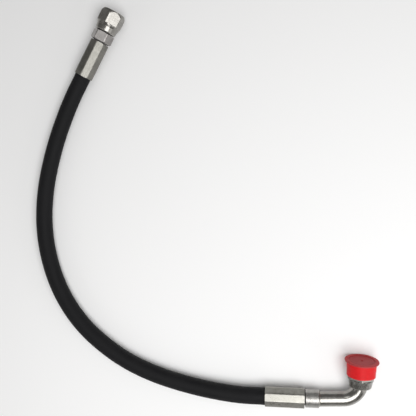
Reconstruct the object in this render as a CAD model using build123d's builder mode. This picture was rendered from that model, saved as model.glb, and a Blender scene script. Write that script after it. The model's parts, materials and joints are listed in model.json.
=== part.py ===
"""A hydraulic hose assembly: a braided hose with a straight and a 90 degree swivel fitting.

The hose lies on the surface z = 0. Both fittings are crimped to it. Each one ends in a swivel
nut, and a push-on cap closes the nut of the elbow. All lengths are in millimetres.
"""

from build123d import *
import math
import os

# Hose: radii of its layers from the bore outwards, and how deep it sits in each ferrule
HOSE_BORE_R = 4.75
INNER_TUBE_R = 6.15
INNER_BRAID_R = 6.70
INSULATION_R = 7.00
OUTER_BRAID_R = 7.55
HOSE_R = 8.10
LAYER_GAP = 0.02
INSERTION = 34.0
HOSE_REST_Z = HOSE_R + 0.05

# Free hose from the straight ferrule's mouth to the elbow ferrule's mouth.
# The end points and their neighbours follow from the fittings, so this is what lies between.
ROUTE_X_Y = [
    (-172.8, 56.1),
    (-182.8, 7.1),
    (-181.8, -37.9),
    (-168.8, -82.9),
    (-144.5, -120.8),
    (-109.3, -150.0),
    (-73.8, -167.9),
    (-31.8, -179.9),
]
STRAIGHT_LEAD = 31.5
ELBOW_LEAD = 30.0
ARC_SHARE = 0.45

# Where the two ferrules' mouths are, and how their axes and the outlet point away from the hose
STRAIGHT_MOUTH = (-141.16, 129.33, 9.82)
STRAIGHT_AZIMUTH = 61.6
STRAIGHT_RISE = 3.1
ELBOW_MOUTH = (42.36, -186.97, 9.75)
ELBOW_AZIMUTH = -0.4
ELBOW_RISE = 0.6
OUTLET_AZIMUTH = 87.5
OUTLET_RISE = 7.9

# Ferrule, crimped by eight dies
FERRULE_LENGTH = 37.6
FERRULE_R = 9.85
FERRULE_APOTHEM = 9.28
FERRULE_LIP = 3.2
FERRULE_LIP_R = 6.05
FERRULE_EDGE = 0.6
CRIMP_DIES = 8
STRAIGHT_FACET_ANGLE = 25.6
ELBOW_FACET_ANGLE = -10.3

# Hose tail, the barbed stem inside the hose
TAIL_START = 3.0
TAIL_R = 4.75
TAIL_ROOT_R = 4.35
BARB_COUNT = 6
BARB_PITCH = 4.6
BARB_CREST = 0.8
FLOW_R = 3.5
LOCK_START = 34.2
LOCK_R = 6.0
SHOULDER_R = 6.6
SHOULDER_GAP = 0.2

# Straight stem's wrench collar
COLLAR_HEX_START = 39.0
COLLAR_HEX_LENGTH = 9.6
COLLAR_HEX_ACROSS = 19.05
COLLAR_HEX_CHAMFER = 0.7
COLLAR_FLAT_ANGLE = 9.8

# Swivel nut, 3/4-16 thread, 7/8 inch across its flats. Depths are from its mouth.
# The hexagon ends at a round shoulder, which tapers to the crimped back.
HEX_SIDES = 6
NUT_LENGTH = 21.7
NUT_ACROSS = 22.2
NUT_MOUTH_FACE_R = 11.0
NUT_MOUTH_CHAMFER = 3.5
NUT_HEX_DEPTH = 13.2
NUT_LEDGE_R = 12.3
NUT_SHOULDER_DEPTH = 16.4
NUT_SHOULDER_R = 11.2
NUT_BACK_R = 10.3
NUT_BACK_EDGE = 1.0
THREAD_R = 8.75
THREAD_START = 1.2
THREAD_END = 10.2
RELIEF_R = 9.3
RELIEF_END = 13.06
LIP_START = 14.78
LIP_R = 8.0
STRAIGHT_NUT_MOUTH = 71.0
STRAIGHT_NUT_FLAT_ANGLE = 32.0
OUTLET_NUT_MOUTH = 34.0
OUTLET_NUT_FLAT_ANGLE = 27.0

# Seat head inside each nut, a 37 degree funnel. Depths are from the nut's mouth.
HEAD_FRONT = 10.8
HEAD_BACK = 13.6
HEAD_R = 8.45
NECK_R = 7.15
NECK_START = 15.3
FUNNEL_R = 7.9
FUNNEL_ANGLE = 37.0

# Elbow: its tail's round collar, the bent tube and the seat on the tube's far end.
# The tube has a slight knee just outside the collar, before its bend.
COLLAR_START = 38.7
COLLAR_END = 51.6
COLLAR_R = 8.6
COLLAR_EDGE = 0.5
SOCKET_START = 44.0
SOCKET_R = 7.2
TUBE_START = 44.2
TUBE_R = 7.15
TUBE_BORE_R = 5.55
KNEE_FROM_MOUTH = 53.5
KNEE_TURN = 3.2
KNEE_R = 35.0
OUTLET_FROM_KNEE = 36.1
BEND_R = 17.2
TUBE_END = 17.7
SEAT_SHOULDER = 18.0
SPIGOT_START = 16.2
SPIGOT_R = 5.5
BRAZE_LEG = 0.9

# Push-on cap. Distances are along the outlet from the tube's axis.
CAP_RIM = 38.4
CAP_RIM_R = 16.0
CAP_RIM_THICKNESS = 1.5
CAP_RIM_ROUND = 0.7
CAP_DISH_R = 12.6
CAP_DISH_DEPTH = 0.8
CAP_DISH_SLOPE = 0.5
CAP_INNER_TOP = 36.1
CAP_SKIRT_END = 23.6
CAP_SKIRT_R = 13.9
CAP_SKIRT_END_R = 13.5
CAP_INNER_R = 13.0
CAP_DIMPLE_R = 1.6
CAP_DIMPLE_DEPTH = 0.7
RADIUS_TOLERANCE = 0.01


def direction(azimuth, rise):
    """The unit vector with this compass angle from +X and this climb above the horizontal."""
    flat = math.cos(math.radians(rise))
    return Vector(
        flat * math.cos(math.radians(azimuth)),
        flat * math.sin(math.radians(azimuth)),
        math.sin(math.radians(rise)),
    )


def axis_frame(origin, along):
    """A plane whose z runs along a fitting and whose x is as near to straight up as it can be."""
    up = Vector(0, 0, 1) - along * along.Z
    return Plane(origin=origin, x_dir=up.normalized(), z_dir=along)


STRAIGHT_ALONG = direction(STRAIGHT_AZIMUTH, STRAIGHT_RISE)
ELBOW_ALONG = direction(ELBOW_AZIMUTH, ELBOW_RISE)
STRAIGHT = axis_frame(Vector(*STRAIGHT_MOUTH), STRAIGHT_ALONG)
ELBOW = axis_frame(Vector(*ELBOW_MOUTH), ELBOW_ALONG)
TUBE_ALONG = direction(ELBOW_AZIMUTH + KNEE_TURN, ELBOW_RISE)
OUTLET_ALONG = direction(OUTLET_AZIMUTH, OUTLET_RISE)
KNEE = Vector(*ELBOW_MOUTH) + ELBOW_ALONG * KNEE_FROM_MOUTH
CORNER = KNEE + TUBE_ALONG * OUTLET_FROM_KNEE
OUTLET = axis_frame(CORNER, OUTLET_ALONG)


def spin(frame, outline, mode=Mode.ADD):
    """Turns an outline of (distance, radius) points about the frame's z axis."""
    section = Plane(origin=frame.origin, x_dir=frame.z_dir, z_dir=frame.y_dir)
    with BuildSketch(section) as profile:
        with BuildLine():
            Polyline(*outline, close=True)
        make_face()
    revolve(profile.sketch, axis=Axis(frame.origin, frame.z_dir), mode=mode)


def prism(frame, start, length, across, sides, flat_angle):
    """A regular bar along the frame's z axis, with one flat facing flat_angle from its x."""
    corner_angle = flat_angle - 180 / sides
    with BuildSketch(frame.offset(start)) as profile:
        RegularPolygon(across / 2, sides, major_radius=False, rotation=corner_angle)
    extrude(profile.sketch, amount=length)


# ---- Hose ----


def route_points():
    """The corners of the free hose, from the straight ferrule's mouth to the elbow's."""
    first, last = Vector(*STRAIGHT_MOUTH), Vector(*ELBOW_MOUTH)
    middle = [Vector(x, y, HOSE_REST_Z) for x, y in ROUTE_X_Y]
    lead_in = first - STRAIGHT_ALONG * STRAIGHT_LEAD
    lead_out = last - ELBOW_ALONG * ELBOW_LEAD
    return [first, lead_in, *middle, lead_out, last]


def arc_radii(points):
    """The largest tangent arc that the two runs at each corner allow."""
    radii = []
    for before, corner, after in zip(points, points[1:], points[2:]):
        arriving, leaving = corner - before, after - corner
        half_turn = math.radians(arriving.get_angle(leaving)) / 2
        shorter = min(arriving.length, leaving.length)
        radii.append(ARC_SHARE * shorter / math.tan(half_turn))
    return radii


def hose_layer(inner_r, outer_r):
    """One layer of the hose, from end to end, with both ends inside their ferrules.

    Prints its volume as a share of its section times its length, which should be one.
    """
    points = route_points()
    radii = arc_radii(points)
    points[0] = points[0] + STRAIGHT_ALONG * INSERTION
    points[-1] = points[-1] + ELBOW_ALONG * INSERTION
    with BuildPart() as layer:
        with BuildLine() as path:
            FilletPolyline(*points, radius=radii)
        with BuildSketch(Plane(origin=points[0], z_dir=-STRAIGHT_ALONG)):
            Circle(outer_r)
            Circle(inner_r, mode=Mode.SUBTRACT)
        sweep(path=path.wire())
    section = math.pi * (outer_r**2 - inner_r**2)
    share = layer.part.volume / (section * path.wire().length)
    print(f"hose layer r {inner_r:.2f} to {outer_r:.2f}: length {path.wire().length:.1f}, share {share:.5f}")
    return layer.part


# ---- Pieces that both ends share ----


def tail_outline():
    """The outside of a hose tail: barbs that slope up to a sharp step on the fitting's side."""
    points = []
    for barb in range(BARB_COUNT):
        start = TAIL_START + barb * BARB_PITCH
        crest_end = start + BARB_PITCH
        points += [
            (start, TAIL_ROOT_R),
            (crest_end - BARB_CREST, TAIL_R),
            (crest_end, TAIL_R),
        ]
    return points + [
        (LOCK_START, TAIL_R),
        (LOCK_START, LOCK_R),
        (FERRULE_LENGTH + SHOULDER_GAP, LOCK_R),
        (FERRULE_LENGTH + SHOULDER_GAP, SHOULDER_R),
    ]


def head_outline(mouth):
    """The seat head's outside and its funnel, inwards to the flow passage."""
    funnel_depth = (FUNNEL_R - FLOW_R) / math.tan(math.radians(FUNNEL_ANGLE))
    return [
        (mouth - NECK_START, NECK_R),
        (mouth - HEAD_BACK, HEAD_R),
        (mouth - HEAD_FRONT, HEAD_R),
        (mouth - HEAD_FRONT, FUNNEL_R),
        (mouth - HEAD_FRONT - funnel_depth, FLOW_R),
    ]


def ferrule(frame, facet_angle):
    """A crimped shell: eight flats on a round sleeve, turned in at the fitting's end."""
    with BuildPart() as shell:
        prism(frame, 0, FERRULE_LENGTH, 2 * FERRULE_APOTHEM, CRIMP_DIES, facet_angle)
        spin(
            frame,
            [
                (0, 0),
                (0, FERRULE_R - FERRULE_EDGE),
                (FERRULE_EDGE, FERRULE_R),
                (FERRULE_LENGTH - FERRULE_EDGE, FERRULE_R),
                (FERRULE_LENGTH, FERRULE_R - FERRULE_EDGE),
                (FERRULE_LENGTH, 0),
            ],
            mode=Mode.INTERSECT,
        )
        spin(
            frame,
            [
                (0, 0),
                (0, HOSE_R),
                (FERRULE_LENGTH - FERRULE_LIP, HOSE_R),
                (FERRULE_LENGTH - FERRULE_LIP, FERRULE_LIP_R),
                (FERRULE_LENGTH, FERRULE_LIP_R),
                (FERRULE_LENGTH, 0),
            ],
            mode=Mode.SUBTRACT,
        )
    return shell.part


def swivel_nut(frame, mouth, flat_angle):
    """A hexagon nut whose crimped back closes behind the seat head. The thread is a plain bore."""
    corner_r = NUT_ACROSS / math.sqrt(3)
    back = mouth - NUT_LENGTH
    with BuildPart() as nut:
        prism(frame, mouth - NUT_HEX_DEPTH, NUT_HEX_DEPTH, NUT_ACROSS, HEX_SIDES, flat_angle)
        spin(
            frame,
            [
                (mouth - NUT_HEX_DEPTH, 0),
                (mouth - NUT_HEX_DEPTH, corner_r),
                (mouth - NUT_MOUTH_CHAMFER, corner_r),
                (mouth, NUT_MOUTH_FACE_R),
                (mouth, 0),
            ],
            mode=Mode.INTERSECT,
        )
        spin(
            frame,
            [
                (back, 0),
                (back, NUT_BACK_R - NUT_BACK_EDGE),
                (back + NUT_BACK_EDGE, NUT_BACK_R),
                (mouth - NUT_SHOULDER_DEPTH, NUT_SHOULDER_R),
                (mouth - NUT_HEX_DEPTH, NUT_LEDGE_R),
                (mouth - NUT_HEX_DEPTH, 0),
            ],
        )
        spin(
            frame,
            [
                (back, 0),
                (back, LIP_R),
                (mouth - LIP_START, LIP_R),
                (mouth - RELIEF_END, RELIEF_R),
                (mouth - THREAD_END, RELIEF_R),
                (mouth - THREAD_END, THREAD_R),
                (mouth - THREAD_START, THREAD_R),
                (mouth, THREAD_R + THREAD_START),
                (mouth, 0),
            ],
            mode=Mode.SUBTRACT,
        )
    return nut.part


# ---- Straight end ----


def wrench_collar():
    """The straight stem's hexagon, with its corners broken at both faces."""
    end = COLLAR_HEX_START + COLLAR_HEX_LENGTH
    corner_r = COLLAR_HEX_ACROSS / math.sqrt(3)
    broken_r = corner_r - 2 * COLLAR_HEX_CHAMFER
    with BuildPart() as collar:
        prism(
            STRAIGHT,
            COLLAR_HEX_START,
            COLLAR_HEX_LENGTH,
            COLLAR_HEX_ACROSS,
            HEX_SIDES,
            COLLAR_FLAT_ANGLE,
        )
        spin(
            STRAIGHT,
            [
                (COLLAR_HEX_START, 0),
                (COLLAR_HEX_START, broken_r),
                (COLLAR_HEX_START + COLLAR_HEX_CHAMFER, corner_r),
                (end - COLLAR_HEX_CHAMFER, corner_r),
                (end, broken_r),
                (end, 0),
            ],
            mode=Mode.INTERSECT,
        )
    return collar.part


def straight_stem():
    """Tail, lock groove, wrench collar, neck and seat head, turned from one hexagon bar."""
    collar = wrench_collar()
    collar_end = COLLAR_HEX_START + COLLAR_HEX_LENGTH
    with BuildPart() as stem:
        add(collar)
        spin(
            STRAIGHT,
            [
                (TAIL_START, 0),
                *tail_outline(),
                (COLLAR_HEX_START + COLLAR_HEX_CHAMFER, SHOULDER_R),
                (collar_end, SHOULDER_R),
                (collar_end, NECK_R),
                *head_outline(STRAIGHT_NUT_MOUTH),
                (STRAIGHT_NUT_MOUTH - NECK_START, 0),
            ],
        )
        spin(
            STRAIGHT,
            [
                (0, 0),
                (0, FLOW_R),
                (STRAIGHT_NUT_MOUTH, FLOW_R),
                (STRAIGHT_NUT_MOUTH, 0),
            ],
            mode=Mode.SUBTRACT,
        )
    return stem.part


# ---- Elbow end ----


def elbow_stem():
    """Tail and round collar, with the socket that the tube is brazed into."""
    with BuildPart() as stem:
        spin(
            ELBOW,
            [
                (TAIL_START, FLOW_R),
                *tail_outline(),
                (COLLAR_START, SHOULDER_R),
                (COLLAR_START, COLLAR_R - COLLAR_EDGE),
                (COLLAR_START + COLLAR_EDGE, COLLAR_R),
                (COLLAR_END - COLLAR_EDGE, COLLAR_R),
                (COLLAR_END, COLLAR_R - COLLAR_EDGE),
                (COLLAR_END, SOCKET_R),
                (SOCKET_START, SOCKET_R),
                (SOCKET_START, FLOW_R),
            ],
        )
    return stem.part


def elbow_tube():
    """The bent tube, from the stem's socket round to the seat."""
    start = ELBOW.origin + ELBOW_ALONG * TUBE_START
    end = OUTLET.origin + OUTLET_ALONG * TUBE_END
    with BuildPart() as tube:
        with BuildLine() as path:
            FilletPolyline(start, KNEE, CORNER, end, radius=[KNEE_R, BEND_R])
        with BuildSketch(Plane(origin=start, z_dir=ELBOW_ALONG)):
            Circle(TUBE_R)
            Circle(TUBE_BORE_R, mode=Mode.SUBTRACT)
        sweep(path=path.wire())
    return tube.part


def elbow_seat():
    """The seat head with the spigot that fits inside the tube."""
    with BuildPart() as seat:
        spin(
            OUTLET,
            [
                (SPIGOT_START, FLOW_R),
                (SPIGOT_START, SPIGOT_R),
                (SEAT_SHOULDER, SPIGOT_R),
                (SEAT_SHOULDER, NECK_R),
                *head_outline(OUTLET_NUT_MOUTH),
            ],
        )
    return seat.part


def stem_braze_ring():
    """The fillet of braze metal where the tube leaves the collar."""
    with BuildPart() as ring:
        spin(
            ELBOW,
            [
                (COLLAR_END, TUBE_R),
                (COLLAR_END, TUBE_R + BRAZE_LEG),
                (COLLAR_END + BRAZE_LEG, TUBE_R),
            ],
        )
    return ring.part


def seat_braze_ring():
    """The washer of braze metal between the tube's end and the seat's shoulder."""
    with BuildPart() as ring:
        with BuildSketch(OUTLET.offset(TUBE_END)):
            Circle(TUBE_R)
            Circle(TUBE_BORE_R, mode=Mode.SUBTRACT)
        extrude(amount=SEAT_SHOULDER - TUBE_END)
    return ring.part


def cap():
    """A moulded cup pushed over the nut, with a wide rim and a dished, dimpled top."""
    rim_under = CAP_RIM - CAP_RIM_THICKNESS
    dish = CAP_RIM - CAP_DISH_DEPTH
    with BuildPart() as cup:
        spin(
            OUTLET,
            [
                (dish - CAP_DIMPLE_DEPTH, 0),
                (dish, CAP_DIMPLE_R),
                (dish, CAP_DISH_R - CAP_DISH_SLOPE),
                (CAP_RIM, CAP_DISH_R),
                (CAP_RIM, CAP_RIM_R),
                (rim_under, CAP_RIM_R),
                (rim_under, CAP_SKIRT_R),
                (CAP_SKIRT_END, CAP_SKIRT_END_R),
                (CAP_SKIRT_END, CAP_INNER_R),
                (CAP_INNER_TOP, CAP_INNER_R),
                (CAP_INNER_TOP, 0),
            ],
        )
        rim_edges = cup.edges().filter_by(
            lambda edge: edge.geom_type == GeomType.CIRCLE and edge.radius > CAP_RIM_R - RADIUS_TOLERANCE
        )
        fillet(rim_edges, CAP_RIM_ROUND)
    return cup.part


PIECES = {
    "hose_inner_tube": hose_layer(HOSE_BORE_R, INNER_TUBE_R),
    "hose_inner_braid": hose_layer(INNER_TUBE_R + LAYER_GAP, INNER_BRAID_R),
    "hose_insulation_layer": hose_layer(INNER_BRAID_R + LAYER_GAP, INSULATION_R),
    "hose_outer_braid": hose_layer(INSULATION_R + LAYER_GAP, OUTER_BRAID_R),
    "hose_cover": hose_layer(OUTER_BRAID_R + LAYER_GAP, HOSE_R),
    "straight_stem": straight_stem(),
    "straight_ferrule": ferrule(STRAIGHT, STRAIGHT_FACET_ANGLE),
    "straight_nut": swivel_nut(STRAIGHT, STRAIGHT_NUT_MOUTH, STRAIGHT_NUT_FLAT_ANGLE),
    "elbow_stem": elbow_stem(),
    "elbow_ferrule": ferrule(ELBOW, ELBOW_FACET_ANGLE),
    "elbow_tube": elbow_tube(),
    "elbow_seat": elbow_seat(),
    "stem_braze_ring": stem_braze_ring(),
    "seat_braze_ring": seat_braze_ring(),
    "elbow_nut": swivel_nut(OUTLET, OUTLET_NUT_MOUTH, OUTLET_NUT_FLAT_ANGLE),
    "cap": cap(),
}

os.makedirs("parts", exist_ok=True)
for name, piece in PIECES.items():
    piece.label = name
    export_step(piece, f"parts/{name}.step")

corners = route_points()
runs = [(b - a).length for a, b in zip(corners, corners[1:])]
print("hose runs", [round(run, 1) for run in runs])
print("hose arc radii", [round(radius) for radius in arc_radii(corners)])
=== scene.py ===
"""The looks of a hydraulic hose assembly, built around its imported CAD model.

All lengths are in metres. Each fitting's pieces are made along their own axis and then placed by
that axis, which comes from the frame's joints or from the hose's route.
"""

import json
import math

import bmesh
import bpy
import numpy as np
from mathutils import Matrix, Vector
from mathutils.kdtree import KDTree


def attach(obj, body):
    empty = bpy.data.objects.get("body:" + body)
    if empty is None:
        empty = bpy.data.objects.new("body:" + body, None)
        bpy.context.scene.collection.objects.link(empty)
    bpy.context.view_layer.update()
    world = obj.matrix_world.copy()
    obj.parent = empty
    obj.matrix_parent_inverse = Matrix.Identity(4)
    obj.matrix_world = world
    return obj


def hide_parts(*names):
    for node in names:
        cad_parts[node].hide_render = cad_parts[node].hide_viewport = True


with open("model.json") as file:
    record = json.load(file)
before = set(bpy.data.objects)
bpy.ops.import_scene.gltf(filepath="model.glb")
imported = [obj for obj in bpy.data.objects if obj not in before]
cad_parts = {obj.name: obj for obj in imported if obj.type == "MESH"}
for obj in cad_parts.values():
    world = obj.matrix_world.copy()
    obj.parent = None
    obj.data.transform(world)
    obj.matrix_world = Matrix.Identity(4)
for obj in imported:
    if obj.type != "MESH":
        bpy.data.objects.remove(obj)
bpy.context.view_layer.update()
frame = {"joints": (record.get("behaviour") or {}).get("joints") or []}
JOINTS = {joint["name"]: joint for joint in frame["joints"]}

# ---- Driving sizes, in metres ----

# The hose's route: from inside the straight ferrule, through its mouth, along the surface, and
# through the elbow ferrule's mouth to inside it.
STRAIGHT_MOUTH = (-0.14116, 0.12933, 0.00982)
ELBOW_MOUTH = (0.04236, -0.18697, 0.00975)
ROUTE = [
    (-0.127862, 0.153924, 0.011334),
    STRAIGHT_MOUTH,
    (-0.15612, 0.10166, 0.00812),
    (-0.1728, 0.0561, 0.00815),
    (-0.1828, 0.0071, 0.00815),
    (-0.1818, -0.0379, 0.00815),
    (-0.1688, -0.0829, 0.00815),
    (-0.1445, -0.1208, 0.00815),
    (-0.1093, -0.1500, 0.00815),
    (-0.0738, -0.1679, 0.00815),
    (-0.0318, -0.1799, 0.00815),
    (0.01236, -0.18676, 0.00944),
    ELBOW_MOUTH,
    (0.070358, -0.187165, 0.010043),
]

# Hose layers: name, outer radius, inner radius
HOSE_R = 8.10e-3
HOSE_LAYERS = [
    ("hose_outer_braid", 7.55e-3, 7.02e-3),
    ("hose_insulation_layer", 7.00e-3, 6.72e-3),
    ("hose_inner_braid", 6.70e-3, 6.17e-3),
    ("hose_inner_tube", 6.15e-3, 4.75e-3),
]
COVER_INNER_R = 7.57e-3

# Ferrules
FERRULE_LENGTH = 37.6e-3
FERRULE_R = 9.85e-3
FERRULE_APOTHEM = 9.28e-3
DIE_COUNT = 8
FERRULE_LIP = 3.2e-3
FERRULE_LIP_R = 6.05e-3
STRAIGHT_FACET_ANGLE = 25.6
ELBOW_FACET_ANGLE = -10.3

# Stems
TAIL_START = 3.0e-3
TAIL_R = 4.73e-3
TAIL_ROOT_R = 4.35e-3
BARB_COUNT = 6
BARB_PITCH = 4.6e-3
FLOW_R = 3.5e-3
LOCK_START = 34.2e-3
LOCK_R = 6.0e-3
SHOULDER_R = 6.6e-3
SHOULDER_GAP = 0.2e-3
HEX_START = 39.0e-3
HEX_END = 48.6e-3
HEX_ACROSS = 19.05e-3
HEX_FLAT_ANGLE = 9.8
COLLAR_START = 38.7e-3
COLLAR_END = 51.6e-3
COLLAR_R = 8.6e-3
SOCKET_START = 44.0e-3
SOCKET_R = 7.2e-3

# Swivel nuts. Depths are from the mouth.
NUT_LENGTH = 21.7e-3
NUT_ACROSS = 22.2e-3
NUT_FACE_R = 11.0e-3
NUT_CHAMFER = 3.5e-3
NUT_HEX_DEPTH = 13.2e-3
NUT_LEDGE_R = 12.3e-3
NUT_SHOULDER_DEPTH = 16.4e-3
NUT_SHOULDER_R = 11.2e-3
NUT_BACK_R = 10.3e-3
RELIEF_R = 9.3e-3
RELIEF_END = 13.06e-3
LIP_START = 14.78e-3
LIP_R = 8.0e-3
THREAD_R = 8.75e-3
THREAD_ROOT_R = 9.5e-3
THREAD_PITCH = 1.5875e-3
THREAD_START = 1.2e-3
THREAD_END = 10.2e-3
STRAIGHT_NUT_FLAT_ANGLE = 32.0
ELBOW_NUT_FLAT_ANGLE = 27.0
STRAIGHT_NUT_MOUTH = 71.0e-3
ELBOW_NUT_MOUTH = 34.0e-3

# Seat heads. Depths are from the nut's mouth.
HEAD_FRONT = 10.8e-3
HEAD_BACK = 13.6e-3
HEAD_R = 8.45e-3
NECK_R = 7.15e-3
NECK_START = 15.3e-3
FUNNEL_R = 7.9e-3
FUNNEL_ANGLE = 37.0

# Elbow
TUBE_START = 44.2e-3
TUBE_R = 7.15e-3
TUBE_BORE_R = 5.55e-3
KNEE_FROM_MOUTH = 53.5e-3
KNEE_TURN = 3.2
KNEE_R = 35.0e-3
OUTLET_FROM_KNEE = 36.1e-3
BEND_R = 17.2e-3
TUBE_END = 17.7e-3
SEAT_SHOULDER = 18.0e-3
SPIGOT_START = 16.2e-3
SPIGOT_R = 5.5e-3
BRAZE_LEG = 0.9e-3

# Cap. Distances are along the outlet from the tube's axis.
CAP_RIM = 38.4e-3
CAP_RIM_R = 16.0e-3
CAP_RIM_THICKNESS = 1.5e-3
CAP_DISH_R = 12.6e-3
CAP_DISH_DEPTH = 0.8e-3
CAP_INNER_TOP = 36.1e-3
CAP_SKIRT_END = 23.6e-3
CAP_SKIRT_R = 13.9e-3
CAP_SKIRT_END_R = 13.5e-3
CAP_INNER_R = 13.0e-3

# Camera
CAMERA_PLACE = (0.05226, -0.00807, 0.5758)
CAMERA_LOOK = (-0.11567, 0.00727, -0.99326)
CAMERA_UP = (0.0, 1.0, 0.0073)
CAMERA_LENS = 50.0


# ---- Camera ----


def make_camera():
    """The camera above the assembly, tilted a little to one side, with the hose's hoop upright."""
    back = -Vector(CAMERA_LOOK).normalized()
    right = Vector(CAMERA_UP).cross(back).normalized()
    up = back.cross(right)
    data = bpy.data.cameras.new("camera")
    data.lens = CAMERA_LENS
    camera = bpy.data.objects.new("camera", data)
    bpy.context.scene.collection.objects.link(camera)
    turn = Matrix((right, up, back)).transposed().to_4x4()
    camera.matrix_world = Matrix.Translation(CAMERA_PLACE) @ turn
    bpy.context.scene.camera = camera


make_camera()


# ---- Axes of the fittings ----


def axis_matrix(origin, along):
    """Places a piece whose own z runs along an axis and whose x is as near to up as it can be."""
    along = Vector(along).normalized()
    up = (Vector((0, 0, 1)) - along * along.z).normalized()
    turn = Matrix((up, along.cross(up), along)).transposed().to_4x4()
    return Matrix.Translation(origin) @ turn


STRAIGHT_ALONG = Vector(JOINTS["straight_swivel"]["axis"])
ELBOW_ALONG = (Vector(ROUTE[-1]) - Vector(ROUTE[-2])).normalized()
OUTLET_ALONG = Vector(JOINTS["elbow_swivel"]["axis"])
TUBE_ALONG = Matrix.Rotation(math.radians(KNEE_TURN), 3, "Z") @ ELBOW_ALONG
KNEE = Vector(ELBOW_MOUTH) + ELBOW_ALONG * KNEE_FROM_MOUTH
CORNER = KNEE + TUBE_ALONG * OUTLET_FROM_KNEE
STRAIGHT = axis_matrix(STRAIGHT_MOUTH, STRAIGHT_ALONG)
ELBOW = axis_matrix(ELBOW_MOUTH, ELBOW_ALONG)
OUTLET = axis_matrix(CORNER, OUTLET_ALONG)


# ---- Mesh tools ----

SIDES = 192
FILLET_STEPS = 4
PATH_STEP = 1.0e-3
SHARP_ANGLE = 40.0
FLAT_ANGLE = 179.0
SHORTEST_RUN = 0.25e-3
SUPPORT_GAP = 0.08e-3
CORNER_SOFTNESS = 0.12e-3

# How sharply a surface turns along an edge, in turns of its normal per metre: from the first it starts
# to count as worn with painted highlight, or grimy with painted shade; this much more makes it fully so.
MARK_FROM = 400
MARK_SPAN = 1800


def add_mesh(name, points, faces, matrix=None, body="root", nodes=None, slot=None, material=None):
    """Makes a clean smooth-shaded piece, its edges marked for wear and painted highlight and its corners for
    grime and painted shade, and puts it on its body.
    """
    mesh = bpy.data.meshes.new(name)
    mesh.from_pydata([tuple(point) for point in points], [], faces)
    work = bmesh.new()
    work.from_mesh(mesh)
    bmesh.ops.remove_doubles(work, verts=work.verts, dist=1e-7)
    bmesh.ops.dissolve_degenerate(work, edges=work.edges, dist=1e-7)
    bmesh.ops.recalc_face_normals(work, faces=work.faces)
    work.to_mesh(mesh)
    work.free()
    mesh.shade_smooth()
    mesh.set_sharp_from_angle(angle=math.radians(SHARP_ANGLE))
    mark_edges(mesh)
    piece = bpy.data.objects.new(name, mesh)
    bpy.context.scene.collection.objects.link(piece)
    if matrix is not None:
        piece.matrix_world = matrix
    if material is not None:
        mesh.materials.append(material)
    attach(piece, body)
    if nodes:
        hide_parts(*nodes)
    return piece


def mark_edges(mesh):
    """Writes how strongly each point lies on an outward edge (wear and painted highlight) or in a corner
    (grime and painted shade).
    """
    count = len(mesh.vertices)
    points = np.zeros(count * 3)
    mesh.vertices.foreach_get("co", points)
    points = points.reshape(-1, 3)
    normals = np.zeros(count * 3)
    mesh.vertex_normals.foreach_get("vector", normals)
    normals = normals.reshape(-1, 3)
    edges = np.zeros(len(mesh.edges) * 2, int)
    mesh.edges.foreach_get("vertices", edges)
    edges = edges.reshape(-1, 2)
    step = points[edges[:, 0]] - points[edges[:, 1]]
    turn = normals[edges[:, 0]] - normals[edges[:, 1]]
    length = np.maximum(np.linalg.norm(step, axis=1), 1e-9)
    bend = (turn * step).sum(axis=1) / length**2
    for label, sign in (("wear_and_glint", 1), ("grime_and_shade", -1)):
        strength = np.zeros(count)
        for end in (0, 1):
            np.maximum.at(strength, edges[:, end], sign * bend)
        share = np.clip((strength - MARK_FROM) / MARK_SPAN, 0, 1)
        marks = mesh.attributes.new(label, "FLOAT", "POINT")
        marks.data.foreach_set("value", share.astype(np.float32))


def paint_shade_band(piece, low, high, share=1.0):
    """Marks the points between two stations of a turned piece for painted shade."""
    grime_and_shade = piece.data.attributes["grime_and_shade"]
    for vertex, value in zip(piece.data.vertices, grime_and_shade.data):
        if low < vertex.co.z < high:
            value.value = share


def rounded(corners, step=1.2e-3):
    """An outline of (z, r, rounding) corners as points: arcs at the corners, short runs between."""
    count = len(corners)
    points = []
    for index, corner in enumerate(corners):
        here = np.array(corner[:2])
        before = np.array(corners[index - 1][:2])
        after = np.array(corners[(index + 1) % count][:2])
        radius = corner[2] if len(corner) > 2 else 0.0
        to_before, to_after = before - here, after - here
        length_before, length_after = np.linalg.norm(to_before), np.linalg.norm(to_after)
        to_before, to_after = to_before / length_before, to_after / length_after
        angle = math.acos(max(-1.0, min(1.0, float(to_before @ to_after))))
        if radius <= 0 or angle > math.radians(FLAT_ANGLE):
            points.append(here)
            continue
        reach = min(radius / math.tan(angle / 2), 0.45 * length_before, 0.45 * length_after)
        radius = reach * math.tan(angle / 2)
        middle = to_before + to_after
        centre = here + middle / np.linalg.norm(middle) * (radius / math.sin(angle / 2))
        start, end = here + to_before * reach - centre, here + to_after * reach - centre
        sweep = math.pi - angle
        for share in np.linspace(0, 1, FILLET_STEPS + 1):
            mix = math.sin((1 - share) * sweep) * start + math.sin(share * sweep) * end
            points.append(centre + mix / math.sin(sweep))
    return subdivided(np.array(points), step)


def subdivided(points, step):
    """Adds points along a closed outline's long runs, with one near each end to hold the shading."""
    made = []
    for here, there in zip(points, np.roll(points, -1, axis=0)):
        length = float(np.linalg.norm(there - here))
        made.append(here)
        if length < SHORTEST_RUN:
            continue
        support = min(SUPPORT_GAP, length * 0.25)
        inner = max(1, math.ceil((length - 2 * support) / step))
        for share in np.linspace(support, length - support, inner + 1) / length:
            made.append(here + (there - here) * share)
    return np.array(made)


def lathe(name, matrix, outline, shape=None, sides=SIDES, **placing):
    """Turns a closed (z, r) outline about z. shape(z, r, angle) may change the radius."""
    angles = np.linspace(0, 2 * math.pi, sides, endpoint=False)
    z = np.repeat(outline[:, :1], sides, axis=1)
    r = np.repeat(outline[:, 1:], sides, axis=1)
    angle = np.repeat(angles[None, :], len(outline), axis=0)
    if shape is not None:
        z, r = shape(z, r, angle)
    points = np.stack([r * np.cos(angle), r * np.sin(angle), z], axis=-1).reshape(-1, 3)
    return add_mesh(name, points, grid_faces(len(outline), sides, True), matrix, **placing)


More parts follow.
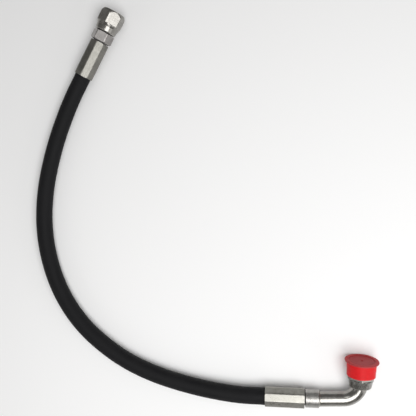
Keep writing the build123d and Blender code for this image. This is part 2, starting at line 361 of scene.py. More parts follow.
def grid_faces(rows, columns, closed_rows):
    """Four-sided faces of a grid whose columns close on themselves, and whose rows may."""
    faces = []
    for row in range(rows if closed_rows else rows - 1):
        below, above = row * columns, (row + 1) % rows * columns
        for column in range(columns):
            beside = (column + 1) % columns
            faces.append((below + column, below + beside, above + beside, above + column))
    return faces


def soft_min(a, b, width):
    """The smaller of two radii, with their meeting edge rounded over about this width."""
    if width == 0:
        return np.minimum(a, b)
    share = np.clip(0.5 + 0.5 * (b - a) / width, 0, 1)
    return a * share + b * (1 - share) - width * share * (1 - share)


def polygon_radius(angle, sides, across, flat_angle, corner=CORNER_SOFTNESS):
    """The radius of a regular bar at an angle, with its corners a little rounded."""
    sector = 2 * math.pi / sides
    local = (angle - math.radians(flat_angle) + sector / 2) % sector - sector / 2
    flat = across / 2 / np.cos(local)
    return soft_min(flat, np.full_like(flat, across / 2 / math.cos(sector / 2) - corner), corner)


# ---- Hose ----


def hose_line():
    """Points and tangents along the hose's smooth line, about a millimetre apart."""
    curve = bpy.data.curves.new("route", "CURVE")
    curve.dimensions = "3D"
    spline = curve.splines.new("NURBS")
    spline.points.add(len(ROUTE) - 1)
    for point, place in zip(spline.points, ROUTE):
        point.co = (*place, 1.0)
    spline.order_u = 3
    spline.use_endpoint_u = True
    spline.resolution_u = 48
    guide = bpy.data.objects.new("route", curve)
    bpy.context.scene.collection.objects.link(guide)
    bpy.context.view_layer.update()
    line = bpy.data.meshes.new_from_object(guide)
    points = np.array([vertex.co for vertex in line.vertices])
    bpy.data.objects.remove(guide)
    bpy.data.meshes.remove(line)
    lengths = np.concatenate([[0], np.cumsum(np.linalg.norm(np.diff(points, axis=0), axis=1))])
    stations = np.linspace(0, lengths[-1], int(lengths[-1] / PATH_STEP) + 1)
    places = np.stack([np.interp(stations, lengths, points[:, i]) for i in range(3)], axis=1)
    return stations, places


def path_frames(places):
    """Two directions across a path at each of its points, which turn as little as they can."""
    tangents = np.gradient(places, axis=0)
    tangents /= np.linalg.norm(tangents, axis=1)[:, None]
    first = np.cross(tangents[0], (0, 0, 1))
    sideways = [first / np.linalg.norm(first)]
    for tangent in tangents[1:]:
        across = sideways[-1] - tangent * float(sideways[-1] @ tangent)
        sideways.append(across / np.linalg.norm(across))
    sideways = np.array(sideways)
    return sideways, np.cross(tangents, sideways)


def pipe(name, places, stations, outer, inner, sides=96, **placing):
    """A pipe along a path, with ring radii outer and inner of shape (stations, sides)."""
    sideways, upwards = path_frames(places)
    angles = np.linspace(0, 2 * math.pi, sides, endpoint=False)
    around = (
        sideways[:, None, :] * np.cos(angles)[None, :, None]
        + upwards[:, None, :] * np.sin(angles)[None, :, None]
    )
    rings = np.concatenate([outer, inner[::-1]])
    centres = np.concatenate([places, places[::-1]])
    around = np.concatenate([around, around[::-1]])
    points = (centres[:, None, :] + around * rings[:, :, None]).reshape(-1, 3)
    piece = add_mesh(name, points, grid_faces(len(rings), sides, True), **placing)
    add_pipe_map(piece.data, places, stations, sideways, upwards)
    return piece


def add_pipe_map(mesh, places, stations, sideways, upwards):
    """A map of each point's length along the pipe, in metres, and its share of a turn about it."""
    tree = KDTree(len(places))
    for index, place in enumerate(places):
        tree.insert(place, index)
    tree.balance()
    along = mesh.attributes.new("along", "FLOAT_VECTOR", "POINT")
    values = []
    for vertex in mesh.vertices:
        _, index, _ = tree.find(vertex.co)
        offset = np.array(vertex.co) - places[index]
        side, up = float(offset @ sideways[index]), float(offset @ upwards[index])
        size = math.hypot(side, up) or 1.0
        values += [stations[index], side / size, up / size]
    along.data.foreach_set("vector", values)


# ---- Materials ----


def new_material(name):
    """A new material, its node tree and its shader node."""
    material = bpy.data.materials.new(name)
    material.use_nodes = True
    tree = material.node_tree
    shader = tree.nodes["Principled BSDF"]
    return material, tree, shader


def add_node(tree, kind, settings=None, **inputs):
    """Adds a node. Each input, by name or as i and its number, is a value or an output to link."""
    node = tree.nodes.new(kind)
    for key, value in (settings or {}).items():
        setattr(node, key, value)
    for key, value in inputs.items():
        name = key.replace("_", " ")
        socket = node.inputs[int(key[1:])] if key[0] == "i" and key[1:].isdigit() else node.inputs[name]
        if isinstance(value, bpy.types.NodeSocket):
            tree.links.new(value, socket)
        else:
            socket.default_value = value
    return node


def object_noise(tree, stretch, scale, detail=4.0, rough=0.55):
    """Noise in the piece's own coordinates, stretched along its axes. Returns a 0 to 1 output."""
    coordinates = add_node(tree, "ShaderNodeTexCoord")
    mapping = add_node(tree, "ShaderNodeMapping", Vector=coordinates.outputs["Object"], Scale=stretch)
    noise = add_node(
        tree,
        "ShaderNodeTexNoise",
        Vector=mapping.outputs["Vector"],
        Scale=scale,
        Detail=detail,
        Roughness=rough,
    )
    return noise.outputs["Fac"]


def remap(tree, value, low, high, to_low, to_high):
    """Maps one range of a value onto another, and holds it there."""
    node = add_node(tree, "ShaderNodeMapRange", i0=value, i1=low, i2=high, i3=to_low, i4=to_high)
    return node.outputs["Result"]


def spread(tree, noise, low, high):
    """Maps the span that a noise mostly fills onto a range."""
    return remap(tree, noise, 0.3, 0.7, low, high)


def blend_colours(tree, share, first, second):
    """Mixes two colours, each a value or an output, by a share."""
    node = add_node(tree, "ShaderNodeMix", {"data_type": "RGBA"}, i0=share, i6=first, i7=second)
    return node.outputs[2]


def math_node(tree, operation, first, second=0.0):
    """One arithmetic step."""
    node = add_node(tree, "ShaderNodeMath", {"operation": operation}, i0=first, i1=second)
    return node.outputs[0]


def attribute(tree, name):
    """A value written on the mesh."""
    node = add_node(tree, "ShaderNodeAttribute", {"attribute_name": name})
    return node.outputs["Fac"]


def bump(tree, height, distance, strength=1.0, below=None):
    """Turns a height into a shading normal."""
    node = add_node(tree, "ShaderNodeBump", Height=height, Distance=distance, Strength=strength)
    if below is not None:
        tree.links.new(below, node.inputs["Normal"])
    return node.outputs["Normal"]


def scaled(colour, factor):
    """A colour made darker or lighter."""
    return tuple(min(1.0, channel * factor) for channel in colour[:3]) + (1.0,)


def crossed_spirals(tree, per_metre, turns):
    """Two waves that run round a pipe both ways, its length along it, and the angle round it."""
    along = add_node(tree, "ShaderNodeAttribute", {"attribute_name": "along"})
    parts = add_node(tree, "ShaderNodeSeparateXYZ", Vector=along.outputs["Vector"])
    turn = math_node(tree, "ARCTAN2", parts.outputs["Z"], parts.outputs["Y"])
    waves = []
    for slant in (1.0, -1.0):
        lengthwise = math_node(tree, "MULTIPLY", parts.outputs["X"], slant * per_metre)
        phase = math_node(tree, "ADD", lengthwise, math_node(tree, "MULTIPLY", turn, turns))
        waves.append(math_node(tree, "SINE", phase))
    return waves, parts.outputs["X"], turn


def metal(name, dark, light, rough, marks, mark_depth, stain=0.35):
    """Zinc-plated steel: cloudy plating, tool marks, outward edges painted bright (wear and painted
    highlight) and corners painted dark (oily grime and painted shade).
    """
    material, tree, shader = new_material(name)
    clouds = object_noise(tree, (1, 1, 1), 170.0, 6.0, 0.6)
    specks = object_noise(tree, (1, 1, 1), 1500.0, 3.0, 0.6)
    tool = object_noise(tree, marks, 1.0, 3.0, 0.7)
    colour = blend_colours(tree, spread(tree, clouds, 0.0, 1.0), dark, light)
    stains = remap(tree, specks, 0.56, 0.75, 0.0, stain)
    colour = blend_colours(tree, stains, colour, scaled(dark, 0.55))
    # Corners and marked bands turn near-black, less metallic and rougher: painted shade, with oily grime.
    grime_and_shade = math_node(tree, "MULTIPLY", attribute(tree, "grime_and_shade"), 0.85)
    colour = blend_colours(tree, grime_and_shade, colour, (0.012, 0.011, 0.010, 1.0))
    # Outward edges turn lighter in patches: wear, and painted highlight.
    patches = remap(tree, clouds, 0.35, 0.6, 0.3, 0.9)
    wear_and_glint = math_node(tree, "MULTIPLY", attribute(tree, "wear_and_glint"), patches)
    colour = blend_colours(tree, wear_and_glint, colour, scaled(light, 1.35))
    tree.links.new(colour, shader.inputs["Base Color"])
    tree.links.new(remap(tree, grime_and_shade, 0.0, 1.0, 1.0, 0.0), shader.inputs["Metallic"])
    roughness = spread(tree, clouds, rough[0], rough[1])
    roughness = math_node(tree, "ADD", roughness, spread(tree, tool, -0.05, 0.05))
    roughness = math_node(tree, "ADD", roughness, math_node(tree, "MULTIPLY", grime_and_shade, 0.3))
    tree.links.new(roughness, shader.inputs["Roughness"])
    fine = bump(tree, specks, 0.02e-3, 0.5)
    tree.links.new(bump(tree, tool, mark_depth, 0.6, fine), shader.inputs["Normal"])
    return material


def rubber_cover():
    """The hose's cover: matt black rubber with the print of the cloth that it was cured in."""
    material, tree, shader = new_material("rubber_cover")
    weave, along, turn = crossed_spirals(tree, WEAVE_PER_M, WEAVE_TURNS)
    cloth = math_node(tree, "MULTIPLY", weave[0], weave[1])
    tape = math_node(tree, "MULTIPLY", along, 1.0 / TAPE_PITCH)
    tape = math_node(tree, "ADD", tape, math_node(tree, "DIVIDE", turn, 2 * math.pi))
    tape = math_node(tree, "FRACT", tape)
    tape = remap(tree, tape, 0.0, TAPE_EDGE_SHARE, 1.0, 0.0)
    clouds = object_noise(tree, (1, 1, 1), 60.0, 5.0, 0.6)
    # Fine dust on the cover, lighter and a little raised.
    dulling = object_noise(tree, (1, 1, 1), 900.0, 4.0, 0.65)
    black, faded = (0.006, 0.006, 0.007, 1.0), (0.011, 0.011, 0.012, 1.0)
    dulled_tint, raised = (0.04, 0.039, 0.037, 1.0), (0.016, 0.016, 0.017, 1.0)
    colour = blend_colours(tree, spread(tree, clouds, 0.0, 1.0), black, faded)
    colour = blend_colours(tree, remap(tree, dulling, 0.6, 0.8, 0.0, 0.2), colour, dulled_tint)
    colour = blend_colours(tree, remap(tree, cloth, -1.0, 1.0, 0.0, 0.2), colour, raised)
    tree.links.new(colour, shader.inputs["Base Color"])
    tree.links.new(spread(tree, clouds, 0.52, 0.72), shader.inputs["Roughness"])
    shader.inputs["Specular IOR Level"].default_value = 0.14
    print_normal = bump(tree, cloth, 0.05e-3, 0.5)
    tape_normal = bump(tree, tape, 0.10e-3, 0.5, print_normal)
    tree.links.new(bump(tree, dulling, 0.03e-3, 0.4, tape_normal), shader.inputs["Normal"])
    return material


def inner_rubber(name, tint):
    """Smooth matt rubber of the layers that the cover hides."""
    material, tree, shader = new_material(name)
    clouds = object_noise(tree, (1, 1, 1), 120.0, 4.0)
    colour = blend_colours(tree, clouds, tint, scaled(tint, 1.6))
    tree.links.new(colour, shader.inputs["Base Color"])
    tree.links.new(spread(tree, clouds, 0.5, 0.7), shader.inputs["Roughness"])
    tree.links.new(bump(tree, clouds, 0.05e-3, 0.4), shader.inputs["Normal"])
    return material


def wire_braid():
    """Brass-coated wire, laid both ways round the hose."""
    material, tree, shader = new_material("wire_braid")
    strands, _, _ = crossed_spirals(tree, BRAID_PER_M, BRAID_TURNS)
    height = math_node(tree, "MAXIMUM", strands[0], strands[1])
    # The brass between the strands is painted dark: painted shade.
    shaded_gap, brass = (0.12, 0.09, 0.05, 1.0), (0.72, 0.58, 0.33, 1.0)
    colour = blend_colours(tree, remap(tree, height, -0.5, 1.0, 0.0, 1.0), shaded_gap, brass)
    tree.links.new(colour, shader.inputs["Base Color"])
    shader.inputs["Metallic"].default_value = 1.0
    tree.links.new(remap(tree, height, -0.5, 1.0, 0.55, 0.3), shader.inputs["Roughness"])
    tree.links.new(bump(tree, height, 0.12e-3, 0.8), shader.inputs["Normal"])
    return material


def braze_metal():
    """Dull braze metal under the plating, a little lumpy."""
    material, tree, shader = new_material("braze_metal")
    lumps = object_noise(tree, (1, 1, 1), 700.0, 4.0)
    colour = blend_colours(tree, lumps, (0.16, 0.15, 0.13, 1.0), (0.34, 0.32, 0.28, 1.0))
    tree.links.new(colour, shader.inputs["Base Color"])
    shader.inputs["Metallic"].default_value = 1.0
    tree.links.new(spread(tree, lumps, 0.35, 0.6), shader.inputs["Roughness"])
    tree.links.new(bump(tree, lumps, 0.15e-3, 0.6), shader.inputs["Normal"])
    return material


def cap_plastic():
    """Soft red polyethylene: a slight glow from within, flow marks, edges painted paler (scuffs and painted
    highlight), and a top and corners painted darker (painted shade).
    """
    material, tree, shader = new_material("cap_plastic")
    clouds = object_noise(tree, (1, 1, 1), 120.0, 4.0, 0.5)
    grain = object_noise(tree, (1, 1, 1), 2600.0, 3.0, 0.6)
    flow = object_noise(tree, (60, 60, 700), 1.0, 3.0, 0.6)
    deep, bright = (0.60, 0.011, 0.014, 1.0), (0.72, 0.018, 0.022, 1.0)
    scuff_and_glint_tint, dulled_tint = (0.86, 0.24, 0.22, 1.0), (0.33, 0.045, 0.050, 1.0)
    colour = blend_colours(tree, spread(tree, clouds, 0.0, 1.0), deep, bright)
    # Outward edges turn a paler red: scuffs, and painted highlight.
    wear_and_glint = math_node(tree, "MULTIPLY", attribute(tree, "wear_and_glint"), 0.25)
    colour = blend_colours(tree, wear_and_glint, colour, scuff_and_glint_tint)
    # The marked top and the inward corners turn a darker, duller red: painted shade.
    dulling = math_node(tree, "MULTIPLY", attribute(tree, "grime_and_shade"), spread(tree, clouds, 0.7, 0.9))
    colour = blend_colours(tree, dulling, colour, dulled_tint)
    tree.links.new(colour, shader.inputs["Base Color"])
    shader.inputs["Subsurface Weight"].default_value = 0.12
    shader.inputs["Subsurface Radius"].default_value = (1.0, 0.2, 0.15)
    shader.inputs["Subsurface Scale"].default_value = 0.9e-3
    shader.inputs["Specular IOR Level"].default_value = 0.18
    tree.links.new(spread(tree, clouds, 0.45, 0.58), shader.inputs["Roughness"])
    fine = bump(tree, grain, 0.015e-3, 0.4)
    tree.links.new(bump(tree, flow, 0.04e-3, 0.4, fine), shader.inputs["Normal"])
    return material


# Waves along the hose in radians per metre, waves round it, and the print of its curing tape.
WEAVE_PER_M = 2 * math.pi / 1.1e-3
WEAVE_TURNS = 46.0
BRAID_PER_M = 2 * math.pi / 2.2e-3
BRAID_TURNS = 20.0
TAPE_PITCH = 42e-3
TAPE_EDGE_SHARE = 0.035

# How fine the tool marks are along a piece's own x, y and z.
TURNED = (220, 220, 9000)
DRAWN = (2600, 2600, 60)
PRESSED = (1200, 1200, 260)

RUBBER = rubber_cover()
TUBE_RUBBER = inner_rubber("tube_rubber", (0.010, 0.010, 0.011, 1.0))
INSULATION = inner_rubber("insulation_rubber", (0.018, 0.016, 0.014, 1.0))
WIRE = wire_braid()
BRAZE = braze_metal()
CAP_RED = cap_plastic()
NUT_STEEL = metal(
    "nut_steel",
    dark=(0.24, 0.232, 0.215, 1),
    light=(0.35, 0.34, 0.32, 1),
    rough=(0.22, 0.33),
    marks=DRAWN,
    mark_depth=0.02e-3,
)
FERRULE_STEEL = metal(
    "ferrule_steel",
    dark=(0.24, 0.235, 0.212, 1),
    light=(0.37, 0.36, 0.33, 1),
    rough=(0.26, 0.40),
    marks=PRESSED,
    mark_depth=0.03e-3,
    stain=0.5,
)
# A rougher copy of the ferrule steel for the straight end, with a darker colour: painted shade.
DULL_SHADED_STEEL = metal(
    "dull_shaded_ferrule_steel",
    dark=(0.18, 0.176, 0.160, 1),
    light=(0.28, 0.273, 0.250, 1),
    rough=(0.36, 0.48),
    marks=PRESSED,
    mark_depth=0.03e-3,
    stain=0.5,
)
STEM_STEEL = metal(
    "stem_steel",
    dark=(0.26, 0.248, 0.24, 1),
    light=(0.37, 0.355, 0.345, 1),
    rough=(0.26, 0.38),
    marks=TURNED,
    mark_depth=0.02e-3,
)
COLLAR_STEEL = metal(
    "collar_steel",
    dark=(0.32, 0.31, 0.295, 1),
    light=(0.44, 0.43, 0.41, 1),
    rough=(0.24, 0.36),
    marks=TURNED,
    mark_depth=0.02e-3,
)
TUBE_STEEL = metal(
    "tube_steel",
    dark=(0.26, 0.25, 0.232, 1),
    light=(0.37, 0.36, 0.34, 1),
    rough=(0.17, 0.26),
    marks=DRAWN,
    mark_depth=0.01e-3,
)


# ---- Hose pieces ----

STATIONS, PLACES = hose_line()


def cover_radius():
    """The cover's outer radius at each station: it swells a little just outside each ferrule."""
    radius = np.full(len(STATIONS), HOSE_R)
    swell, reach = 0.12e-3, 2.5e-3
    for mouth, side in ((STRAIGHT_MOUTH, 1), (ELBOW_MOUTH, -1)):
        away = np.linalg.norm(PLACES - np.array(mouth), axis=1)
        outside = (STATIONS - STATIONS[int(np.argmin(away))]) * side > 0
        radius += np.where(outside, swell * np.exp(-((away / reach) ** 2)), 0.0)
    return radius


def make_hose():
    """The cover and the four layers inside it, all along one line."""
    sides, inner_sides = 96, 64
    ones = np.ones((len(STATIONS), sides))
    looks = {
        "hose_outer_braid": (WIRE, "braid_wire"),
        "hose_insulation_layer": (INSULATION, "insulation_rubber"),
        "hose_inner_braid": (WIRE, "braid_wire"),
        "hose_inner_tube": (TUBE_RUBBER, "tube_rubber"),
    }
    thin = slice(None, None, 2)  # the hidden layers use every other station
    for node, outer_r, inner_r in HOSE_LAYERS:
        material, slot = looks[node]
        layer = pipe(
            node + "_pipe",
            PLACES[thin],
            STATIONS[thin],
            outer_r * ones[thin, :inner_sides],
            inner_r * ones[thin, :inner_sides],
            sides=inner_sides,
            nodes=[node],
            slot=slot,
            material=material,
        )
    cover = pipe(
        "hose_cover_rubber",
        PLACES,
        STATIONS,
        cover_radius()[:, None] * ones,
        COVER_INNER_R * ones,
        sides=sides,
        nodes=["hose_cover"],
        slot="cover_rubber",
        material=RUBBER,
    )


make_hose()


# ---- Fittings ----


def tail_outline():
    """The outside of a hose tail: barbs, the groove that the ferrule's lip locks in, a shoulder."""
    crest = 0.8e-3
    corners = []
    for barb in range(BARB_COUNT):
        start = TAIL_START + barb * BARB_PITCH
        corners += [
            (start, TAIL_ROOT_R),
            (start + BARB_PITCH - crest, TAIL_R, 0.1e-3),
            (start + BARB_PITCH, TAIL_R, 0.1e-3),
        ]
    return corners + [
        (LOCK_START, TAIL_R),
        (LOCK_START, LOCK_R),
        (FERRULE_LENGTH + SHOULDER_GAP, LOCK_R),
        (FERRULE_LENGTH + SHOULDER_GAP, SHOULDER_R, 0.15e-3),
    ]


def head_outline(mouth):
    """The seat head and its 37 degree funnel, inwards to the flow passage."""
    funnel_depth = (FUNNEL_R - FLOW_R) / math.tan(math.radians(FUNNEL_ANGLE))
    return [
        (mouth - NECK_START, NECK_R),
        (mouth - HEAD_BACK, HEAD_R, 0.4e-3),
        (mouth - HEAD_FRONT, HEAD_R, 0.3e-3),
        (mouth - HEAD_FRONT, FUNNEL_R, 0.1e-3),
        (mouth - HEAD_FRONT - funnel_depth, FLOW_R, 0.3e-3),
    ]


def make_ferrule(node, matrix, facet_angle, material):
    """A sleeve crimped by eight dies, which leave flats with narrow ridges between them."""

    outside_r = 9.0e-3
    ridge_softness = 0.10e-3

    def crimp(z, r, angle):
        flats = polygon_radius(angle, DIE_COUNT, 2 * FERRULE_APOTHEM, facet_angle, corner=0.0)
        return z, np.where(r > outside_r, soft_min(r, flats, ridge_softness), r)

    outline = rounded(
        [
            (0.0, HOSE_R, 0.35e-3),
            (0.0, FERRULE_R, 0.45e-3),
            (FERRULE_LENGTH, FERRULE_R, 0.3e-3),
            (FERRULE_LENGTH, FERRULE_LIP_R, 0.3e-3),
            (FERRULE_LENGTH - FERRULE_LIP, FERRULE_LIP_R, 0.2e-3),
            (FERRULE_LENGTH - FERRULE_LIP, HOSE_R, 0.2e-3),
        ]
    )
    lathe(
        node + "_crimped",
        matrix,
        outline,
        crimp,
        sides=320,
        nodes=[node],
        slot="ferrule_steel",
        material=material,
    )


def make_nut(name, matrix, mouth, flat_angle):
    """A swivel nut: hexagon, rounded back, chamfered mouth and a cut internal thread.

    Its node and its body have the same name.
    """
    thread_low, thread_high = mouth - THREAD_END, mouth - THREAD_START
    hex_end = mouth - NUT_HEX_DEPTH
    outside_r = 9.8e-3
    same = 0.01e-3

    def cut(z, r, angle):
        flats = polygon_radius(angle, 6, NUT_ACROSS, flat_angle)
        past_hex = np.clip((hex_end - z) / 0.35e-3, 0, 1)
        outer = soft_min(r, flats + past_hex * 3e-3, CORNER_SOFTNESS)
        turns = ((z - thread_low) / THREAD_PITCH - angle / (2 * math.pi)) % 1.0
        groove = np.clip((0.375 - np.abs(turns - 0.5)) / 0.3125, 0, 1)
        fade_in = np.clip((z - thread_low) / (0.8 * THREAD_PITCH), 0, 1)
        fade_out = np.clip((thread_high - z) / (0.5 * THREAD_PITCH), 0, 1)
        bore = r + (THREAD_ROOT_R - THREAD_R) * groove * fade_in * fade_out
        in_bore = (np.abs(r - THREAD_R) < same) & (z > thread_low) & (z < thread_high)
        return z, np.where(in_bore, bore, np.where(r > outside_r, outer, r))

    corner_r = NUT_ACROSS / math.sqrt(3)
    back = mouth - NUT_LENGTH
    outline = rounded(
        [
            (back, LIP_R, 0.3e-3),
            (back, NUT_BACK_R, 1.1e-3),
            (mouth - NUT_SHOULDER_DEPTH, NUT_SHOULDER_R, 1.5e-3),
            (hex_end, NUT_LEDGE_R),
            (hex_end, corner_r, 0.25e-3),
            (mouth - NUT_CHAMFER, corner_r, 0.2e-3),
            (mouth, NUT_FACE_R, 0.25e-3),
            (mouth, THREAD_R + THREAD_START, 0.15e-3),
            (thread_high, THREAD_R),
            (thread_low, THREAD_R),
            (thread_low, RELIEF_R, 0.1e-3),
            (mouth - RELIEF_END, RELIEF_R, 0.3e-3),
            (mouth - LIP_START, LIP_R, 0.2e-3),
        ],
        step=0.7e-3,
    )
    # The threaded bore gets stations fine enough to carry the thread.
    fine = 0.1e-3
    bore = [(z, THREAD_R) for z in np.arange(thread_high - fine, thread_low + fine / 2, -fine)]
    on_bore = np.abs(outline[:, 1] - THREAD_R) < same
    between = (outline[:, 0] > thread_low + 1e-6) & (outline[:, 0] < thread_high - 1e-6)
    keep = outline[~(on_bore & between)]
    start = int(np.argmin(np.linalg.norm(keep - (thread_high, THREAD_R), axis=1)))
    outline = np.concatenate([keep[: start + 1], bore, keep[start + 1 :]])
    lathe(
        name + "_cut",
        matrix,
        outline,
        cut,
        nodes=[name],
        body=name,
        slot="zinc_steel",
        material=NUT_STEEL,
    )


def make_straight_stem():
    """Tail, wrench collar, neck and seat head in one piece."""

    face_r, outside_r = 9.15e-3, 9.2e-3
    chamfer = 0.7e-3

    def collar(z, r, angle):
        flats = polygon_radius(angle, 6, HEX_ACROSS, HEX_FLAT_ANGLE)
        return z, np.where(r > outside_r, soft_min(r, flats, CORNER_SOFTNESS), r)

    corner_r = HEX_ACROSS / math.sqrt(3)
    outline = rounded(
        [
            (TAIL_START, FLOW_R),
            *tail_outline(),
            (HEX_START, SHOULDER_R, 0.1e-3),
            (HEX_START, face_r),
            (HEX_START + chamfer, corner_r, 0.2e-3),
            (HEX_END - chamfer, corner_r, 0.2e-3),
            (HEX_END, face_r),
            (HEX_END, NECK_R, 0.2e-3),
            *head_outline(STRAIGHT_NUT_MOUTH),
        ]
    )
    stem = lathe(
        "straight_stem_turned",
        STRAIGHT,
        outline,
        collar,
        nodes=["straight_stem"],
        slot="zinc_steel",
        material=STEM_STEEL,
    )
    # Painted shade in the recess between the ferrule's lip and the hex, and just behind the hex.
    paint_shade_band(stem, FERRULE_LENGTH - FERRULE_LIP, HEX_START + 0.25e-3)
    paint_shade_band(stem, HEX_END - 0.1e-3, HEX_END + 2.0e-3)


def make_elbow_stem():
    """Tail and round collar, whose surface keeps the rings of the lathe tool."""
    ring_pitch, ring_depth = 0.62e-3, 0.03e-3

    def rings(z, r, angle):
        on_collar = (r > COLLAR_R - 0.01e-3) & (z > COLLAR_START) & (z < COLLAR_END)
        groove = 0.5 - 0.5 * np.cos(2 * math.pi * (z - COLLAR_START) / ring_pitch)
        return z, np.where(on_collar, r - ring_depth * groove, r)

    outline = rounded(
        [
            (TAIL_START, FLOW_R),
            *tail_outline(),
            (COLLAR_START, SHOULDER_R, 0.1e-3),
            (COLLAR_START, COLLAR_R, 0.45e-3),
            (COLLAR_END, COLLAR_R, 0.45e-3),
            (COLLAR_END, SOCKET_R),
            (SOCKET_START, SOCKET_R),
            (SOCKET_START, FLOW_R),
        ],
        step=0.1e-3,
    )
    stem = lathe(
        "elbow_stem_turned",
        ELBOW,
        outline,
        rings,
        sides=128,
        nodes=["elbow_stem"],
        slot="collar_steel",
        material=COLLAR_STEEL,
    )
    # Painted shade in the recess between the ferrule's lip and the collar.
    paint_shade_band(stem, FERRULE_LENGTH - FERRULE_LIP, COLLAR_START + 0.1e-3)


def bend(corner, arriving, leaving, radius):
    """Points along the arc that rounds a corner between two directions."""
    turn = arriving.angle(leaving)
    across = (leaving - arriving * arriving.dot(leaving)).normalized()
    start = corner - arriving * radius * math.tan(turn / 2)
    centre = start + across * radius
    steps = max(4, round(math.degrees(turn) / 2))
    return [
        centre + (arriving * math.sin(share) - across * math.cos(share)) * radius
        for share in np.linspace(0, turn, steps + 1)
    ]


def straight_run(start, end):
    """Points about a millimetre apart between two places, without the two themselves."""
    count = max(1, round((end - start).length / PATH_STEP))
    return [start.lerp(end, step / count) for step in range(1, count)]


def make_elbow_tube():
    """The bent tube, round all along."""
    start = Vector(ELBOW_MOUTH) + ELBOW_ALONG * TUBE_START
    end = CORNER + OUTLET_ALONG * TUBE_END
    places = [start]
    for corner, arriving, leaving, radius in (
        (KNEE, ELBOW_ALONG, TUBE_ALONG, KNEE_R),
        (CORNER, TUBE_ALONG, OUTLET_ALONG, BEND_R),
    ):
        arc = bend(corner, arriving, leaving, radius)
        places += straight_run(places[-1], arc[0]) + arc
    places += straight_run(places[-1], end) + [end]
    places = np.array(places)
    stations = np.concatenate([[0], np.cumsum(np.linalg.norm(np.diff(places, axis=0), axis=1))])
    sides = 128
    ones = np.ones((len(places), sides))
    pipe(
        "elbow_tube_bent",
        places,
        stations,
        TUBE_R * ones,
        TUBE_BORE_R * ones,
        sides=sides,
        nodes=["elbow_tube"],
        slot="zinc_steel",
        material=TUBE_STEEL,
    )


def make_elbow_seat():
    """The seat head with its spigot inside the tube."""
    outline = rounded(
        [
            (SPIGOT_START, FLOW_R),
            (SPIGOT_START, SPIGOT_R, 0.2e-3),
            (SEAT_SHOULDER, SPIGOT_R),
            (SEAT_SHOULDER, NECK_R, 0.1e-3),
            *head_outline(ELBOW_NUT_MOUTH),
        ],
        step=0.5e-3,
    )
    lathe(
        "elbow_seat_turned",
        OUTLET,
        outline,
        sides=128,
        nodes=["elbow_seat"],
        slot="zinc_steel",
        material=STEM_STEEL,
    )


def make_brazes():
    """The fillet at the collar and the thin washer at the seat."""

    def lumpy(z, r, angle):
        wave = 0.04e-3 * np.sin(5 * angle) + 0.03e-3 * np.sin(11 * angle + 1.0)
        raised = np.clip((r - TUBE_R) / BRAZE_LEG, 0, 1)
        return z, r + wave * raised

    hollow = BRAZE_LEG * (1 - math.sqrt(0.5))
    fillet = rounded(
        [
            (COLLAR_END, TUBE_R),
            (COLLAR_END, TUBE_R + BRAZE_LEG),
            (COLLAR_END + hollow, TUBE_R + hollow, 0.6e-3),
            (COLLAR_END + BRAZE_LEG, TUBE_R),
        ],
        step=0.3e-3,
    )
    lathe("stem_braze_fillet", ELBOW, fillet, lumpy, nodes=["stem_braze_ring"], slot="braze", material=BRAZE)
    washer = rounded(
        [
            (TUBE_END, TUBE_BORE_R),
            (TUBE_END, TUBE_R),
            (SEAT_SHOULDER, TUBE_R),
            (SEAT_SHOULDER, TUBE_BORE_R),
        ],
        step=0.3e-3,
    )
    lathe("seat_braze_washer", OUTLET, washer, nodes=["seat_braze_ring"], slot="braze", material=BRAZE)


def make_cap():
    """A moulded cup: wide rim, dished top with a gate dimple, skirt stretched over the nut."""
    rim_under = CAP_RIM - CAP_RIM_THICKNESS
    dish = CAP_RIM - CAP_DISH_DEPTH

    swell, uneven = 0.10e-3, 3e-3

    def stretch(z, r, angle):
        low = np.clip((rim_under - z) / (rim_under - CAP_SKIRT_END), 0, 1)
        local = (angle - math.radians(ELBOW_NUT_FLAT_ANGLE)) * 6
        skirt = (r > CAP_INNER_R - 0.2e-3) & (z < rim_under)
        bulge = -swell * np.cos(local) * low**1.5
        edge = 0.10e-3 * np.sin(2 * angle + 0.7) + 0.06e-3 * np.sin(5 * angle)
        near_end = np.clip(1 - (z - CAP_SKIRT_END) / uneven, 0, 1) * skirt
        return z + edge * near_end, np.where(skirt, r + bulge, r)

    outline = rounded(
        [
            (dish - 0.7e-3, 0.02e-3),
            (dish - 0.6e-3, 0.9e-3, 0.4e-3),
            (dish, 1.7e-3, 0.4e-3),
            (dish, 9.6e-3, 0.2e-3),
            (dish + 0.12e-3, 9.8e-3, 0.15e-3),
            (dish + 0.12e-3, 10.3e-3, 0.15e-3),
            (dish, 10.5e-3, 0.2e-3),
            (dish, CAP_DISH_R - 0.4e-3, 0.3e-3),
            (CAP_RIM, CAP_DISH_R, 0.35e-3),
            (CAP_RIM, CAP_RIM_R, 0.7e-3),
            (rim_under, CAP_RIM_R, 0.7e-3),
            (rim_under, CAP_SKIRT_R, 0.5e-3),
            (CAP_SKIRT_END, CAP_SKIRT_END_R, 0.3e-3),
            (CAP_SKIRT_END, CAP_INNER_R, 0.3e-3),
            (CAP_INNER_TOP, CAP_INNER_R, 0.6e-3),
            (CAP_INNER_TOP, 0.02e-3),
        ],
        step=0.7e-3,
    )
    cap = lathe(
        "cap_moulded",
        OUTLET,
        outline,
        stretch,
        nodes=["cap"],
        body="cap",
        slot="cap_plastic",
        material=CAP_RED,
    )
    just = 0.01e-3
    # Painted shade on the dish, and a little less on the rim's top.
    paint_shade_band(cap, dish - 0.8e-3, CAP_RIM - just)
    paint_shade_band(cap, CAP_RIM - just, CAP_RIM + just, 0.7)


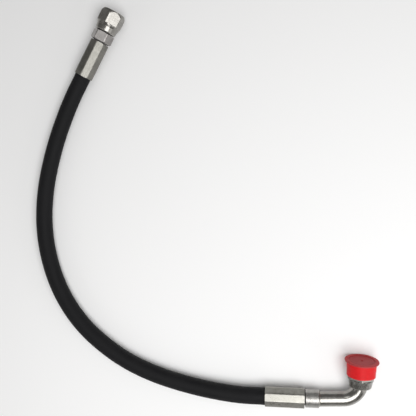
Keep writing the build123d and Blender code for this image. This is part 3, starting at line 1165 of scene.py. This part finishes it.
make_ferrule("straight_ferrule", STRAIGHT, STRAIGHT_FACET_ANGLE, DULL_SHADED_STEEL)
make_ferrule("elbow_ferrule", ELBOW, ELBOW_FACET_ANGLE, FERRULE_STEEL)
make_straight_stem()
make_elbow_stem()
make_elbow_tube()
make_elbow_seat()
make_brazes()
make_nut("straight_nut", STRAIGHT, STRAIGHT_NUT_MOUTH, STRAIGHT_NUT_FLAT_ANGLE)
make_nut("elbow_nut", OUTLET, ELBOW_NUT_MOUTH, ELBOW_NUT_FLAT_ANGLE)
make_cap()


# ---- Studio ----

FLOOR_HALF = 6.0
FLOOR_TINT = (0.93, 0.93, 0.93, 1)
WORLD_TINT = (1.0, 0.99, 0.97, 1)
WORLD_STRENGTH = 0.24

# Softboxes: name, place, the point that it faces, size, power in watts
LIGHTS = [
    ("key", (0.33, -0.36, 0.95), (0.30, -0.30, 0.0), (0.85, 0.75), 9.5),
    ("fill", (-0.12, 0.34, 1.00), (-0.10, 0.20, 0.0), (0.45, 0.45), 0.9),
    ("side", (1.40, -0.92, 0.62), (0.13, -0.17, 0.0), (0.8, 0.8), 3.0),
    ("front", (0.15, -1.30, 0.30), (0.08, -0.17, 0.0), (1.0, 0.5), 0.5),
    ("left", (-1.25, -0.50, 0.60), (0.08, -0.17, 0.0), (1.0, 0.7), 1.3),
]


def make_floor():
    """A plain pale floor."""
    mesh = bpy.data.meshes.new("floor")
    corners = [(x * FLOOR_HALF, y * FLOOR_HALF, 0) for x, y in ((-1, -1), (1, -1), (1, 1), (-1, 1))]
    mesh.from_pydata(corners, [], [(0, 1, 2, 3)])
    floor = bpy.data.objects.new("floor", mesh)
    bpy.context.scene.collection.objects.link(floor)
    material, _, shader = new_material("floor_paper")
    shader.inputs["Base Color"].default_value = FLOOR_TINT
    shader.inputs["Roughness"].default_value = 0.9
    mesh.materials.append(material)


def make_light(name, place, target, size, power):
    """A softbox that faces a point."""
    data = bpy.data.lights.new(name, "AREA")
    data.shape = "RECTANGLE"
    data.size, data.size_y = size
    data.energy = power
    light = bpy.data.objects.new(name, data)
    bpy.context.scene.collection.objects.link(light)
    light.location = place
    light.rotation_mode = "QUATERNION"
    light.rotation_quaternion = (Vector(place) - Vector(target)).to_track_quat("Z", "Y")


def make_world():
    """A dim, even surrounding light."""
    world = bpy.data.worlds.new("studio")
    world.use_nodes = True
    background = world.node_tree.nodes["Background"]
    background.inputs["Color"].default_value = WORLD_TINT
    background.inputs["Strength"].default_value = WORLD_STRENGTH
    bpy.context.scene.world = world


make_floor()
make_world()
for light in LIGHTS:
    make_light(*light)
bpy.context.scene.view_settings.view_transform = "Standard"
